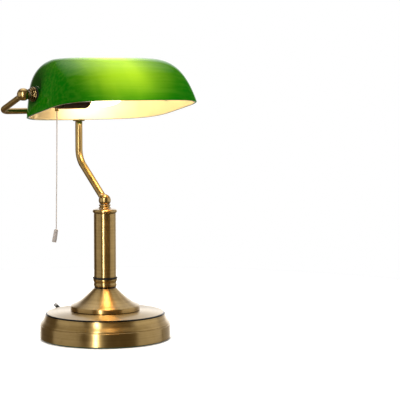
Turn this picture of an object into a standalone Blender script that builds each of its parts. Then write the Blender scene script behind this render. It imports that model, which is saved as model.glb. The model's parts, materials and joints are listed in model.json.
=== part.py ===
"""Banker desk lamp: turned brass stand, hollow yoke, opal-lined green glass shade, pull-switch holder.

Metres, +Z up. The origin is the centre of the felt pad's underside, on the column's axis. The shade's
long axis runs along X and its front, the reader's side, faces -Y. Dimensions below are millimetres.
"""
import math

import bmesh
import bpy
from mathutils import Matrix, Vector

MM = 0.001
GAP = 0.3  # clearance between pieces that touch

# Base
BASE_R = 88.0
FELT_R, FELT_T = 84.5, 1.5
PLATE_R, PLATE_T = 86.0, 1.2
SHELL_T = 1.2
DISC_Z = 38.4
WEIGHT_R, WEIGHT_TOP = 74.0, 20.0
NOTCH_SIZE = (7.0, 70.0, 8.0)  # the wire's way out under the weight
NOTCH_OUT = 45.0
BUSHING_TURN = math.radians(13.0)  # from the back towards -X
BUSHING_RISE = math.radians(31.8)

# Stand
ROD_R, ROD_BORE = 4.85, 3.3
ROD_LOW, ROD_TOP = 12.0, 185.3
FLARE_R, FLARE_NECK_R = 46.9, 14.8
FLARE_LOW, FLARE_TOP = 39.0, 68.6
COLUMN_R, COLUMN_WALL = 15.0, 1.5
COLUMN_LOW, COLUMN_TOP = 83.3, 169.8
NECK_R = 8.4

# Arm and yoke
BALL_R = 8.3
ARM_BALL_Z = 187.3
ARM_R, ARM_BORE = 5.0, 3.9
ARM_BACK = 62.5  # the upright part of the arm, behind the column
ARM_KNEE_Z, ARM_BEND = 241.0, 29.0
ARM_TOP = 292.1
SOCKET_DEPTH = 5.3  # a tube's end stops this far from the centre of its ball
YOKE_R, YOKE_BORE, YOKE_BEND = 4.0, 2.9, 12.0
YOKE_Z = 307.4
HUB_R = 7.5

# Shade, and the axis through its end holes
PIVOT = Vector((0.0, 4.0, 330.3))
PIVOT_X = 123.5  # centres of the two end balls
SHADE_HALF = (112.5, 65.0)
SHADE_H, GLASS_T = 71.7, 4.0
RIDGE_HALF = 73.2
RIDGE_SHIFT = 17.0  # the ridge stands this far behind the middle of the rim
SHADE_TILT = math.radians(12.65)  # front edge up
HOLE_UP, HOLE_BACK = 26.4, 19.1  # end holes, from the middle of the rim
SEAT_X, SEAT_R, SEAT_T = 106.0, 10.6, 4.5

# Lamp holder, bulb and pull cord, by their distance from the middle of the shade along X
HOLDER_BACK, HOLDER_JOINT, HOLDER_MOUTH = 95.8, 69.0, 27.5
HOLDER_CAP_R, HOLDER_R = 18.0, 19.5
SHELL_R = 13.9
BULB_CAP_R = 13.1
SPOUT_X = -72.5
CORD_D = 1.3
CORD_INSIDE = 6.0  # the cord's upper end, below the pivot axis
BOB_TOP, BOB_LENGTH, BOB_R = 152.3, 17.6, 2.9
BOB_LEAN = math.radians(10.0)

FINISHES = {  # base colour, roughness, metallic
    "brass": ((0.42, 0.29, 0.12), 0.32, 1.0),
    "iron": ((0.09, 0.09, 0.09), 0.7, 0.6),
    "steel": ((0.55, 0.55, 0.55), 0.35, 1.0),
    "felt": ((0.02, 0.09, 0.04), 0.95, 0.0),
    "black_plastic": ((0.015, 0.014, 0.013), 0.4, 0.0),
    "grey_plastic": ((0.35, 0.34, 0.36), 0.45, 0.0),
    "bakelite": ((0.045, 0.022, 0.014), 0.3, 0.0),
    "ceramic": ((0.8, 0.77, 0.7), 0.35, 0.0),
    "rubber": ((0.012, 0.012, 0.012), 0.8, 0.0),
    "green_glass": ((0.03, 0.25, 0.02), 0.08, 0.0),
    "bulb_glass": ((0.95, 0.93, 0.86), 0.15, 0.0),
    "cord": ((0.75, 0.68, 0.62), 0.8, 0.0),
    "bob": ((0.55, 0.5, 0.45), 0.35, 0.0),
    "wire": ((0.5, 0.4, 0.2), 0.5, 0.0),
}


def clear_scene():
    for obj in list(bpy.data.objects):
        bpy.data.objects.remove(obj, do_unlink=True)


def new_collection(name, hidden=False):
    group = bpy.data.collections.new(name)
    group.hide_render = hidden
    bpy.context.scene.collection.children.link(group)
    return group


clear_scene()
PARTS = new_collection("banker_desk_lamp")
CUTTERS = new_collection("cutters", hidden=True)


def own_material(name, finish):
    """The named sub-part's own Principled material, in one of the lamp's finishes."""
    color, roughness, metallic = FINISHES[finish]
    material = bpy.data.materials.new(name)
    material.use_nodes = True
    shader = material.node_tree.nodes["Principled BSDF"]
    shader.inputs["Base Color"].default_value = (*color, 1.0)
    shader.inputs["Roughness"].default_value = roughness
    shader.inputs["Metallic"].default_value = metallic
    return material


def place(name, data, finish=None, at=(0, 0, 0), axis=(0, 0, 1), cutter=False):
    """An object whose own Z points along axis. A cutter goes in its own hidden collection."""
    obj = bpy.data.objects.new(name, data)
    (CUTTERS if cutter else PARTS).objects.link(obj)
    obj.location = Vector(at) * MM
    obj.rotation_euler = Vector((0, 0, 1)).rotation_difference(Vector(axis)).to_euler()
    if cutter:
        obj.hide_render = True
        obj.display_type = "WIRE"
    else:
        data.materials.append(own_material(name, finish))
    return obj


def arc(centre, radius, start, end, steps):
    """Points of an arc in a profile's (radius, height) plane, angles in degrees."""
    angles = [math.radians(start + (end - start) * i / steps) for i in range(steps + 1)]
    return [(centre[0] + radius * math.cos(a), centre[1] + radius * math.sin(a)) for a in angles]


def turned(name, profile, finish=None, steps=20, at=(0, 0, 0), axis=(0, 0, 1), cutter=False):
    """A piece turned about its own Z. The profile runs down its outer side, top to bottom."""
    data = bpy.data.meshes.new(name)
    count = len(profile)
    edges = [(i, i + 1) for i in range(count - 1)]
    if profile[0][0] > 0 or profile[-1][0] > 0:
        edges.append((count - 1, 0))
    data.from_pydata([(r * MM, 0, z * MM) for r, z in profile], edges, [])
    obj = place(name, data, finish, at, axis, cutter)
    screw = obj.modifiers.new("turn", "SCREW")
    screw.steps = screw.render_steps = steps
    screw.use_merge_vertices = True
    screw.merge_threshold = 0.00001
    return obj


def ring_profile(outer, inner, low, high):
    return [(outer, high), (outer, low), (inner, low), (inner, high)]


def drill(name, radius, low, high, at, axis, steps=12):
    """A closed cylinder that cuts along axis, from low to high past the given point."""
    return turned(name, [(0, high), (radius, high), (radius, low), (0, low)], steps=steps,
                  at=at, axis=axis, cutter=True)


def boolean(obj, tool, operation="DIFFERENCE"):
    modifier = obj.modifiers.new(tool.name, "BOOLEAN")
    modifier.operation = operation
    modifier.object = tool


def prism(name, across_flats, low, high, finish, at=(0, 0, 0), axis=(0, 0, 1)):
    """A hexagon nut blank."""
    mesh = bmesh.new()
    bmesh.ops.create_cone(mesh, cap_ends=True, segments=6, depth=(high - low) * MM,
                          radius1=across_flats / math.sqrt(3) * MM,
                          radius2=across_flats / math.sqrt(3) * MM)
    bmesh.ops.translate(mesh, verts=mesh.verts, vec=(0, 0, (low + high) / 2 * MM))
    data = bpy.data.meshes.new(name)
    mesh.to_mesh(data)
    mesh.free()
    return place(name, data, finish, at, axis)


def bent_path(corners, bends, arc_steps=6):
    """A polyline through the corners, with each inner corner rounded to its bend radius."""
    points = [Vector(corners[0])]
    for before, corner, after, radius in zip(corners, corners[1:], corners[2:], bends):
        corner = Vector(corner)
        back = (Vector(before) - corner).normalized()
        ahead = (Vector(after) - corner).normalized()
        half = back.angle(ahead) / 2
        centre = corner + (back + ahead).normalized() * radius / math.sin(half)
        start = corner + back * radius / math.tan(half) - centre
        turn_axis = start.cross(corner + ahead * radius / math.tan(half) - centre).normalized()
        sweep = math.pi - 2 * half
        points += [centre + Matrix.Rotation(sweep * i / arc_steps, 3, turn_axis) @ start
                   for i in range(arc_steps + 1)]
    return points + [Vector(corners[-1])]


def swept(name, points, radius, finish=None, resolution=2, cutter=False):
    """A round rod along the points, made a mesh with its caps welded on."""
    curve = bpy.data.curves.new(name + "_path", "CURVE")
    curve.dimensions = "3D"
    curve.bevel_depth = radius * MM
    curve.bevel_resolution = resolution
    curve.use_fill_caps = True
    spline = curve.splines.new("POLY")
    spline.points.add(len(points) - 1)
    for target, point in zip(spline.points, points):
        target.co = (*(Vector(point) * MM), 1.0)
    guide = bpy.data.objects.new(name + "_path", curve)
    PARTS.objects.link(guide)
    bpy.context.view_layer.update()
    data = bpy.data.meshes.new_from_object(guide.evaluated_get(bpy.context.evaluated_depsgraph_get()))
    bpy.data.objects.remove(guide, do_unlink=True)
    mesh = bmesh.new()
    mesh.from_mesh(data)
    bmesh.ops.remove_doubles(mesh, verts=mesh.verts, dist=0.00001)
    bmesh.ops.recalc_face_normals(mesh, faces=mesh.faces)
    mesh.to_mesh(data)
    mesh.free()
    return place(name, data, finish, cutter=cutter)


def stretched(points, extra):
    """The same path with both ends drawn out, for a bore that runs through."""
    first = points[0] + (points[0] - points[1]).normalized() * extra
    last = points[-1] + (points[-1] - points[-2]).normalized() * extra
    return [first, *points[1:-1], last]


def hollow_tube(name, points, radius, bore, finish, resolution):
    tube = swept(name, points, radius, finish, resolution)
    boolean(tube, swept(name + "_bore", stretched(points, 2), bore, resolution=2, cutter=True))
    return tube


def finish_meshes():
    """Applies the modifiers, then shades round surfaces smooth and keeps real edges sharp."""
    bpy.context.view_layer.update()
    graph = bpy.context.evaluated_depsgraph_get()
    baked = {obj: bpy.data.meshes.new_from_object(obj.evaluated_get(graph)) for obj in PARTS.objects}
    for obj, data in baked.items():
        obj.modifiers.clear()
        obj.data = data
        data.shade_smooth()
        data.set_sharp_from_angle(angle=math.radians(35))


# Base


def make_base():
    skirt_low = FELT_T + GAP
    outer = [(5.3, DISC_Z), (46.0, DISC_Z), (66.0, 36.9), (78.9, 35.5), (79.4, 35.0), (79.5, 32.4),
             (80.6, 32.4), (80.8, 33.7), (81.6, 31.0), (83.4, 26.8), (86.5, 22.4), (87.3, 20.9),
             (86.9, 20.2), (BASE_R, 19.3), (BASE_R + 0.2, skirt_low)]
    inner = [(BASE_R - SHELL_T, skirt_low), (BASE_R - SHELL_T, 18.2), (85.4, 21.0), (82.2, 26.0),
             (79.3, 31.2), (77.0, 33.9), (66.0, 35.6), (46.0, DISC_Z - SHELL_T), (5.3, DISC_Z - SHELL_T)]
    cover = turned("base_cover", outer + inner, "brass", steps=40)

    turned("base_felt_pad", [(0, FELT_T), (FELT_R, FELT_T), (FELT_R, 0), (0, 0)], "felt", steps=32)
    plate_low = FELT_T + GAP
    turned("base_plate", [(0, plate_low + PLATE_T), (PLATE_R, plate_low + PLATE_T),
                          (PLATE_R, plate_low), (0, plate_low)], "steel", steps=32)

    rear = Vector((-math.sin(BUSHING_TURN), math.cos(BUSHING_TURN), 0))
    weight_low = plate_low + PLATE_T + GAP
    boss_top = DISC_Z - SHELL_T - GAP
    weight = turned("base_weight", [(5.3, boss_top), (20.0, boss_top), (22.0, WEIGHT_TOP),
                                    (WEIGHT_R - 2, WEIGHT_TOP), (WEIGHT_R, WEIGHT_TOP - 2),
                                    (WEIGHT_R, weight_low), (17.0, weight_low), (17.0, 18.5), (5.3, 18.5)],
                    "iron", steps=28)
    notch = bmesh.new()
    bmesh.ops.create_cube(notch, size=1.0)
    data = bpy.data.meshes.new("weight_notch")
    notch.to_mesh(data)
    notch.free()
    cutter = place("weight_notch", data, cutter=True)
    cutter.rotation_euler = (0, 0, BUSHING_TURN)
    cutter.location = (rear * NOTCH_OUT + Vector((0, 0, weight_low - 1 + NOTCH_SIZE[2] / 2))) * MM
    cutter.scale = Vector(NOTCH_SIZE) * MM
    boolean(weight, cutter)

    turned("base_washer", ring_profile(14.0, 5.3, 16.7, 18.2), "steel", steps=24)
    nut = prism("base_nut", 17.0, 12.4, 16.4, "steel")
    boolean(nut, drill("base_nut_bore", ROD_R + GAP, 10, 20, (0, 0, 0), (0, 0, 1)))

    axis = rear * math.cos(BUSHING_RISE) + Vector((0, 0, math.sin(BUSHING_RISE)))
    seat = rear * 82.3 + Vector((0, 0, 28.6))
    boolean(cover, drill("bushing_hole", 3.0, -7, 7, seat, axis, 16))
    bushing = [(2.6, 11.0), (2.6, 2.9), (4.0, 2.4), (4.0, 1.4), (2.7, 1.2), (2.7, -3.6), (1.6, -3.6),
               (1.6, 11.0)]
    turned("cord_bushing", bushing, "black_plastic", steps=16, at=seat, axis=axis)
    collar = [(2.2, 15.6), (2.6, 14.8), (2.6, 11.3), (1.6, 11.3), (1.6, 15.6)]
    turned("bushing_collar", collar, "grey_plastic", steps=16, at=seat, axis=axis)
    return seat, axis


# Stand


def make_stand():
    waist = [(43.0, 46.7), (37.6, 49.4), (31.2, 53.7), (24.9, 59.0), (19.1, 64.4), (15.9, 67.7)]
    flare = [(FLARE_NECK_R, FLARE_TOP), *reversed(waist), (45.8, 45.4), (FLARE_R, 44.6),
             (FLARE_R, FLARE_LOW), (42.5, FLARE_LOW), (41.5, 44.2), (26.0, 55.4), (14.0, 65.2),
             (5.3, 66.2)]
    turned("base_flare", flare, "brass", steps=32)

    low = FLARE_TOP + 0.5
    collar = [(5.3, 81.1), (15.6, 81.1), (16.3, 80.4), (16.1, 79.0), (15.1, 76.9), (14.9, 75.6), (15.4, 74.7),
              (15.5, 71.6), (14.8, 70.4), (14.8, low), (5.3, low)]
    turned("lower_collar", collar, "brass")
    turned("collar_gasket", ring_profile(16.8, 5.3, 81.4, COLUMN_LOW - GAP), "rubber")
    turned("column_tube", ring_profile(COLUMN_R, COLUMN_R - COLUMN_WALL, COLUMN_LOW, COLUMN_TOP), "brass")
    lip_low = COLUMN_TOP + GAP
    cap = [(5.3, 175.3), (14.9, 175.3), *arc((14.2, 172.7), 2.4, 60, -60, 3), (15.0, lip_low),
           (COLUMN_R - COLUMN_WALL - GAP, lip_low), (COLUMN_R - COLUMN_WALL - GAP, 165.0),
           (11.5, 165.0), (11.5, 172.2), (5.3, 172.2)]
    turned("column_cap", cap, "brass")
    cup = [(6.2, 181.9), (NECK_R - 0.4, 181.6), (NECK_R - 0.4, 180.2), (7.2, 179.4),
           (7.2, 178.2), (NECK_R, 177.4), (NECK_R, 176.0), (5.3, 175.6), (5.3, 180.2)]
    turned("neck_cup", cup, "brass")
    turned("threaded_rod", ring_profile(ROD_R, ROD_BORE, ROD_LOW, ROD_TOP), "steel", steps=16)


# Arm and yoke


def ball_profile(radius, steps, low_cut=None):
    """A ball's profile. With low_cut, it ends in a flat that far below its centre."""
    end = -90 if low_cut is None else -math.degrees(math.asin(low_cut / radius))
    points = arc((0, 0), radius, 90, end, steps)
    points[0] = (0, radius)
    if low_cut is None:
        points[-1] = (0, -radius)
    else:
        points.append((0, points[-1][1]))
    return points


def make_arm():
    ball_at = Vector((0, 0, ARM_BALL_Z))
    knee = Vector((0, ARM_BACK, ARM_KNEE_Z))
    lean = (knee - ball_at).normalized()
    ball = turned("arm_ball", ball_profile(BALL_R, 7, low_cut=5.0), "brass", steps=18, at=ball_at)
    boolean(ball, drill("arm_ball_socket", ARM_R + GAP, SOCKET_DEPTH - GAP, 12, ball_at, lean))
    boolean(ball, drill("arm_ball_wire_way", 3.0, -0.7, 8, ball_at, lean, 14))
    boolean(ball, drill("arm_ball_centre", 3.4, -4, 0.6, ball_at, (0, 0, 1), 14))
    boolean(ball, drill("arm_ball_foot", ROD_R + GAP, -9, -1.5, ball_at, (0, 0, 1), 16))

    path = bent_path([ball_at + lean * SOCKET_DEPTH, knee, Vector((0, ARM_BACK, ARM_TOP))], [ARM_BEND], 7)
    hollow_tube("arm_tube", path, ARM_R, ARM_BORE, "brass", 4)
    top = ARM_TOP + GAP
    turned("arm_flange", [(3.2, top + 1.8), (7.9, top + 1.8), (8.3, top + 1.3), (8.3, top + 0.5),
                          (7.9, top), (3.2, top)], "brass", at=(0, ARM_BACK, 0))

    hub_at = Vector((0, ARM_BACK, YOKE_Z))
    boss_low = top + 1.8 + GAP - YOKE_Z
    hub = turned("yoke_hub", [*ball_profile(HUB_R, 7, low_cut=5.1)[:-1], (5.5, -6.0), (5.5, boss_low),
                              (0, boss_low)], "brass", steps=18, at=hub_at)
    boolean(hub, drill("hub_wire_way", 3.1, -20, 0.8, hub_at, (0, 0, 1), 14))
    for side in (-1, 1):
        boolean(hub, drill(f"hub_socket_{side}", YOKE_R + GAP, 4.6, 12, hub_at, (side, 0, 0)))
        boolean(hub, drill(f"hub_way_{side}", 2.7 + 0.1 * side, -0.5, 6, hub_at, (side, 0, 0), 12))
    boolean(hub, drill("hub_grub_hole", 2.2, 4.4, 12, hub_at, (0, 1, 0), 12))

    for name, side in (("left", -1), ("right", 1)):
        end = PIVOT + Vector((side * PIVOT_X, 0, 0))
        corner = Vector((side * PIVOT_X, ARM_BACK, YOKE_Z))
        leg = (corner - end).normalized()
        path = bent_path([hub_at + Vector((side * 4.9, 0, 0)), corner, end + leg * SOCKET_DEPTH],
                         [YOKE_BEND], 6)
        hollow_tube("yoke_tube_" + name, path, YOKE_R, YOKE_BORE, "brass", 4)
        end_ball = turned("end_ball_" + name, ball_profile(BALL_R, 7), "brass", steps=18, at=end)
        boolean(end_ball, drill("leg_socket_" + name, YOKE_R + GAP, SOCKET_DEPTH - GAP, 12, end, leg))
        boolean(end_ball, drill("leg_way_" + name, 2.9, -0.4, 8, end, leg, 12))
        boolean(end_ball, drill("nipple_socket_" + name, ROD_R + GAP, 4.0, 12, end, (-side, 0, 0)))
        boolean(end_ball, drill("nipple_way_" + name, 2.7, -0.3, 8, end, (-side, 0, 0), 12))
        boolean(end_ball, drill("ball_grub_hole_" + name, 2.2, 5.2, 12, end, (0, 0, -1), 12))
    make_grub_screws(hub_at)


def make_grub_screws(hub_at):
    """Set screws with hexagon sockets, one in the hub and one under each end ball."""
    seats = {"hub": (hub_at + Vector((0, 4.7, 0)), (0, 1, 0))}
    for name, side in (("left", -1), ("right", 1)):
        seats[name] = (PIVOT + Vector((side * PIVOT_X, 0, -5.5)), (0, 0, -1))
    for name, (seat, axis) in seats.items():
        screw = turned("grub_screw_" + name, [(0, 2.4), (1.9, 2.4), (1.9, 0.0), (0, 0.0)], "steel",
                       steps=12, at=seat, axis=axis)
        boolean(screw, drill("screw_key_" + name, 0.9, 1.0, 5.0, seat, axis, 6))


# Shade and its end fittings


def section_ring(share, count):
    """Points of the shade's plan outline at this share of its height, evenly spaced along it."""
    shoulder = (1 - share ** 1.1) ** 0.46
    long_half = RIDGE_HALF + (SHADE_HALF[0] - RIDGE_HALF) * shoulder
    short_half = SHADE_HALF[1] * math.sqrt(1 - share ** 4.8)
    power = 2 / (4.4 - 0.7 * share)
    fine = []
    for i in range(count * 12 + 1):
        angle = 2 * math.pi * i / (count * 12)
        c, s = math.cos(angle), math.sin(angle)
        fine.append(Vector((math.copysign(abs(c) ** power, c) * long_half,
                            math.copysign(abs(s) ** power, s) * short_half + RIDGE_SHIFT * share ** 2,
                            SHADE_H * share)))
    lengths = [0.0]
    for a, b in zip(fine, fine[1:]):
        lengths.append(lengths[-1] + (b - a).length)
    ring, spot = [], 0
    for i in range(count):
        target = lengths[-1] * i / count
        while lengths[spot + 1] < target:
            spot += 1
        part = (target - lengths[spot]) / (lengths[spot + 1] - lengths[spot])
        ring.append(fine[spot].lerp(fine[spot + 1], part))
    return ring


def shade_surface(name, count=44, rings=8):
    """The shade's outer surface, lofted from the rim up to the ridge, about the pivot axis."""
    mesh = bmesh.new()
    centre = Vector((0, HOLE_BACK, HOLE_UP))
    rows = []
    for step in range(rings + 1):
        share = 1 - (1 - step / rings) ** 2
        rows.append([mesh.verts.new((p - centre) * MM) for p in section_ring(share, count)])
    for low, high in zip(rows, rows[1:]):
        for i in range(count):
            j = (i + 1) % count
            mesh.faces.new((low[i], low[j], high[j], high[i]))
    bmesh.ops.remove_doubles(mesh, verts=mesh.verts, dist=0.00002)
    bmesh.ops.dissolve_degenerate(mesh, edges=mesh.edges, dist=0.00001)
    bmesh.ops.recalc_face_normals(mesh, faces=mesh.faces)
    data = bpy.data.meshes.new(name)
    mesh.to_mesh(data)
    mesh.free()
    obj = place(name, data, "green_glass", at=PIVOT)
    obj.rotation_euler = (-SHADE_TILT, 0, 0)
    return obj


def make_shade():
    """The glass, with a flat moulded seat and a hole at each end."""
    glass = shade_surface("shade_glass")
    wall = glass.modifiers.new("wall", "SOLIDIFY")
    wall.thickness = GLASS_T * MM
    wall.offset = -1
    wall.use_even_offset = True
    for name, side in (("left", -1), ("right", 1)):
        along = (side, 0, 0)
        boss = drill("seat_boss_" + name, SEAT_R, SEAT_X - SEAT_T, SEAT_X, PIVOT, along, 28)
        boolean(glass, boss, "UNION")
        boolean(glass, drill("seat_face_" + name, SEAT_R, SEAT_X, SEAT_X + 9, PIVOT, along, 28))
        boolean(glass, drill("seat_inner_" + name, SEAT_R, SEAT_X - SEAT_T - 9, SEAT_X - SEAT_T,
                             PIVOT, along, 28))
        boolean(glass, drill("seat_hole_" + name, 5.6, SEAT_X - 9, SEAT_X + 9, PIVOT, along))


def make_end_fittings():
    washer_in = SEAT_X + GAP
    nut_in = washer_in + 1.3 + GAP
    inner_face = SEAT_X - SEAT_T - GAP
    for name, side in (("left", -1), ("right", 1)):
        along = (side, 0, 0)
        clamp = [(5.15, 115.0), (6.6, 115.0), (7.3, 114.2), (7.0, 113.0), (8.3, 112.6), (8.6, 111.6),
                 (8.3, 110.8), (9.7, 110.2), (9.9, 109.2), (9.6, nut_in), (5.15, nut_in)]
        turned("clamp_nut_" + name, clamp, "brass", at=PIVOT, axis=along)
        turned("outer_washer_" + name, ring_profile(10.2, 5.3, washer_in, washer_in + 1.3), "rubber",
               steps=20, at=PIVOT, axis=along)
        turned("inner_washer_" + name, ring_profile(9.8, 5.3, inner_face - 1.2, inner_face), "rubber",
               steps=24, at=PIVOT, axis=along)
        nut_low = HOLDER_BACK + GAP
        lock_nut = prism("lock_nut_" + name, 15.0, nut_low, inner_face - 1.2 - GAP, "steel", PIVOT, along)
        boolean(lock_nut, drill("lock_nut_bore_" + name, ROD_R + GAP, 90, 105, PIVOT, along))
        turned("nipple_" + name, ring_profile(ROD_R, 2.9, 91.0, 119.0), "steel", steps=16, at=PIVOT,
               axis=along)
    dome = [(ROD_R + GAP, HOLDER_BACK), (8.2, HOLDER_BACK), (8.2, 92.0),
            *[(r, z) for r, z in arc((0, 92.0), 8.2, 0, -90, 5)[1:-1]], (0, 83.8), (0, 89.5),
            (ROD_R + GAP, 89.5)]
    turned("cap_nut_right", dome, "brass", steps=20, at=PIVOT, axis=(1, 0, 0))


# Lamp holder, bulb and pull cord: profiles run by their distance from the middle, on the left side


def make_holder():
    left = (-1, 0, 0)
    joint = HOLDER_JOINT + GAP
    cap = [(5.2, HOLDER_BACK), (9.0, HOLDER_BACK), (9.0, 92.6), (12.2, 91.6), (15.6, 89.4), (17.6, 86.2),
           (HOLDER_CAP_R, 83.0), (HOLDER_CAP_R, joint), (15.6, joint), (15.6, 83.6), (12.0, 88.0),
           (5.2, 88.0)]
    cap_obj = turned("holder_cap", cap, "bakelite", at=PIVOT, axis=left)
    body = [(HOLDER_R - 0.8, HOLDER_JOINT), (HOLDER_R, HOLDER_JOINT - 0.8), (HOLDER_R, 33.6), (18.9, 33.1),
            (18.9, 32.5), (HOLDER_R, 32.0), (HOLDER_R, 29.2), (18.2, HOLDER_MOUTH), (16.2, HOLDER_MOUTH),
            (15.0, 28.6), (15.0, 66.4), (17.0, 67.0), (17.0, HOLDER_JOINT)]
    turned("holder_body", body, "bakelite", at=PIVOT, axis=left)
    turned("holder_insert", [(0, 66.2), (14.6, 66.2), (14.6, 61.6), (0, 61.6)], "ceramic",
           at=PIVOT, axis=left)
    turned("screw_shell", ring_profile(SHELL_R, SHELL_R - 0.45, 34.0, 61.3), "brass", at=PIVOT,
           axis=left)
    turned("centre_contact", [(0, 61.3), (4.2, 61.3), (4.2, 60.5), (0, 60.5)], "brass", steps=16, at=PIVOT,
           axis=left)

    spout_at = PIVOT + Vector((SPOUT_X, 0, 0))
    down = (0, 0, -1)
    boolean(cap_obj, drill("spout_hole", 2.0, 12, 22, spout_at, down, 16))
    spout = [(2.3, 22.3), (2.7, 21.6), (2.1, 19.6), (2.9, 19.0), (2.9, HOLDER_CAP_R + GAP),
             (1.7, HOLDER_CAP_R + GAP), (1.7, 16.6), (0.95, 16.6), (0.95, 21.4), (1.6, 22.3)]
    turned("pull_spout", spout, "brass", steps=16, at=spout_at, axis=down)

    block = bmesh.new()
    bmesh.ops.create_cube(block, size=1.0)
    bmesh.ops.scale(block, verts=block.verts, vec=Vector((8.0, 16.0, 20.0)) * MM)
    bmesh.ops.bevel(block, geom=block.edges, offset=0.8 * MM, segments=1, affect="EDGES")
    data = bpy.data.meshes.new("switch_block")
    block.to_mesh(data)
    block.free()
    place("switch_block", data, "bakelite", at=PIVOT + Vector((-80.6, 0, 0)))


def make_bulb():
    left = (-1, 0, 0)
    cap = [(0, 59.9), (3.2, 59.7), (4.6, 58.7), (8.5, 57.4), (11.6, 56.0), (BULB_CAP_R, 54.6),
           (BULB_CAP_R, 31.8), (12.5, 31.8), (12.5, 54.4), (0, 57.0)]
    turned("bulb_screw_cap", cap, "steel", at=PIVOT, axis=left)
    outline = [(11.6, 31.5), (12.0, 27.0), (15.2, 14.0), (17.3, 1.0), (17.2, -6.0), (14.8, -18.0),
               (10.8, -27.5), (5.4, -36.0), (2.0, -39.4), (0, -40.2)]
    inner = [(0, -38.6), (4.4, -34.6), (9.8, -26.8), (13.8, -17.6), (16.2, -6.0), (16.3, 1.0),
             (14.2, 14.0), (10.9, 27.0), (10.5, 31.5)]
    turned("bulb_glass", outline + inner, "bulb_glass", at=PIVOT, axis=left)


def cord_route():
    """The pull cord's centre line, top to bottom, with the slight sway of a light cord."""
    top, low = PIVOT.z - CORD_INSIDE, BOB_TOP + GAP
    route = [(SPOUT_X, PIVOT.y, top), (SPOUT_X, PIVOT.y, 312.0), (SPOUT_X, PIVOT.y, 305.0),
             (SPOUT_X - 0.1, PIVOT.y, 285.0), (SPOUT_X - 0.4, PIVOT.y + 0.1, 255.0),
             (SPOUT_X - 0.8, PIVOT.y + 0.2, 225.0), (SPOUT_X - 1.3, PIVOT.y + 0.3, 195.0),
             (SPOUT_X - 1.7, PIVOT.y + 0.3, 170.0), (SPOUT_X - 2.0, PIVOT.y + 0.3, low)]
    return [Vector(point) for point in route]


def smooth(route, spacing):
    """Evenly spaced points on a smooth curve through the route's points."""
    ends = [route[0] * 2 - route[1], *route, route[-1] * 2 - route[-2]]
    points = []
    for a, b, c, d in zip(ends, ends[1:], ends[2:], ends[3:]):
        count = max(1, round((c - b).length / spacing))
        for i in range(count):
            t = i / count
            points.append(0.5 * (2 * b + (c - a) * t + (2 * a - 5 * b + 4 * c - d) * t ** 2
                                 + (3 * b - a - 3 * c + d) * t ** 3))
    return points + [route[-1]]


def make_pull_cord():
    route = cord_route()
    swept("pull_cord", smooth(route, 3.8), CORD_D / 2, "cord")
    lever = [(0, 3.2), (2.6, 3.2), (3.0, 2.6), (3.0, 0.6), (2.6, 0.0), (0, 0.0)]
    turned("pull_lever", lever, "brass", steps=14, at=route[0] + Vector((0, 0, GAP)))

    hang = Vector((-math.sin(BOB_LEAN) * 0.83, math.sin(BOB_LEAN) * 0.56, -math.cos(BOB_LEAN)))
    at = route[-1] - Vector((0, 0, GAP))
    turned("bob_cap", [(0, 4.4), (2.5, 4.4), (2.75, 3.0), (2.6, 1.4), (1.7, 0.3), (0, 0.0)], "bob",
           steps=16, at=at, axis=hang)
    bob = [(0, BOB_LENGTH), (1.7, BOB_LENGTH - 0.2), (2.5, BOB_LENGTH - 1.0), (BOB_R, BOB_LENGTH - 3.0),
           (2.8, 9.0), (2.6, 4.7), (0, 4.7)]
    turned("cord_bob", bob, "bob", steps=16, at=at, axis=hang)


# Wires that the lamp holds all the way


def make_wires(seat, axis):
    rear = Vector((axis.x, axis.y, 0)).normalized()
    floor = 7.6
    corners = [seat + axis * 9.0, seat - axis * 6.0, rear * 76.4 + Vector((0, 0, floor)),
               Vector((0, 0, floor)), Vector((0, 0, ROD_TOP - 1.5))]
    swept("base_wire", bent_path(corners, [3.0, 5.0, 4.0], 4), 1.2, "wire", resolution=1)

    ball_at = Vector((0, 0, ARM_BALL_Z))
    hub_at = Vector((0, ARM_BACK, YOKE_Z))
    end = PIVOT + Vector((-PIVOT_X, 0, 0))
    corners = [Vector((0, 0, ROD_TOP - 0.4)), ball_at, Vector((0, ARM_BACK, ARM_KNEE_Z)), hub_at,
               Vector((-PIVOT_X, ARM_BACK, YOKE_Z)), end, PIVOT + Vector((-85.0, 0, 0))]
    swept("arm_wire", bent_path(corners, [2.2, ARM_BEND, 3.0, YOKE_BEND, 3.0], 6), 1.1, "wire", resolution=1)


seat, axis = make_base()
make_stand()
make_arm()
make_shade()
make_end_fittings()
make_holder()
make_bulb()
make_pull_cord()
make_wires(seat, axis)
finish_meshes()
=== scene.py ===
"""Banker desk lamp: the fine shapes, finishes, light and camera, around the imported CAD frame.

Profiles and paths are in millimetres in the frame of the part, and become metres when a mesh is made.
A profile is a list of (radius, height) points.
"""
import json
import math

import bmesh
import bpy
import numpy as np
from mathutils import Matrix, Vector


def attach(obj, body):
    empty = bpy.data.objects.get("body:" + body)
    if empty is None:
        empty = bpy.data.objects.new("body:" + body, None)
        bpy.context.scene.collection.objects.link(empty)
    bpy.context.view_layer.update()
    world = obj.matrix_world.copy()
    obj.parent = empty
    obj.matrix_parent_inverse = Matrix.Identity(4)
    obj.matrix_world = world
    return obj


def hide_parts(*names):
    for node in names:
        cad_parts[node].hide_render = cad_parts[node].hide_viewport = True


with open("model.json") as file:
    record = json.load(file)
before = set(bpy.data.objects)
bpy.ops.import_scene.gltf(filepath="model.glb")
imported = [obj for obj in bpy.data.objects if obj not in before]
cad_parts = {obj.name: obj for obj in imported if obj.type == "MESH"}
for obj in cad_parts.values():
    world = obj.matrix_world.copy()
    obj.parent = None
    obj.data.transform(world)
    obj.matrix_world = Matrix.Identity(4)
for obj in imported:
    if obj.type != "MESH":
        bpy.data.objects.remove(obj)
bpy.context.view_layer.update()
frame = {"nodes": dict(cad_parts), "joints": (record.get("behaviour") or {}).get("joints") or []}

MM = 0.001
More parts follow.
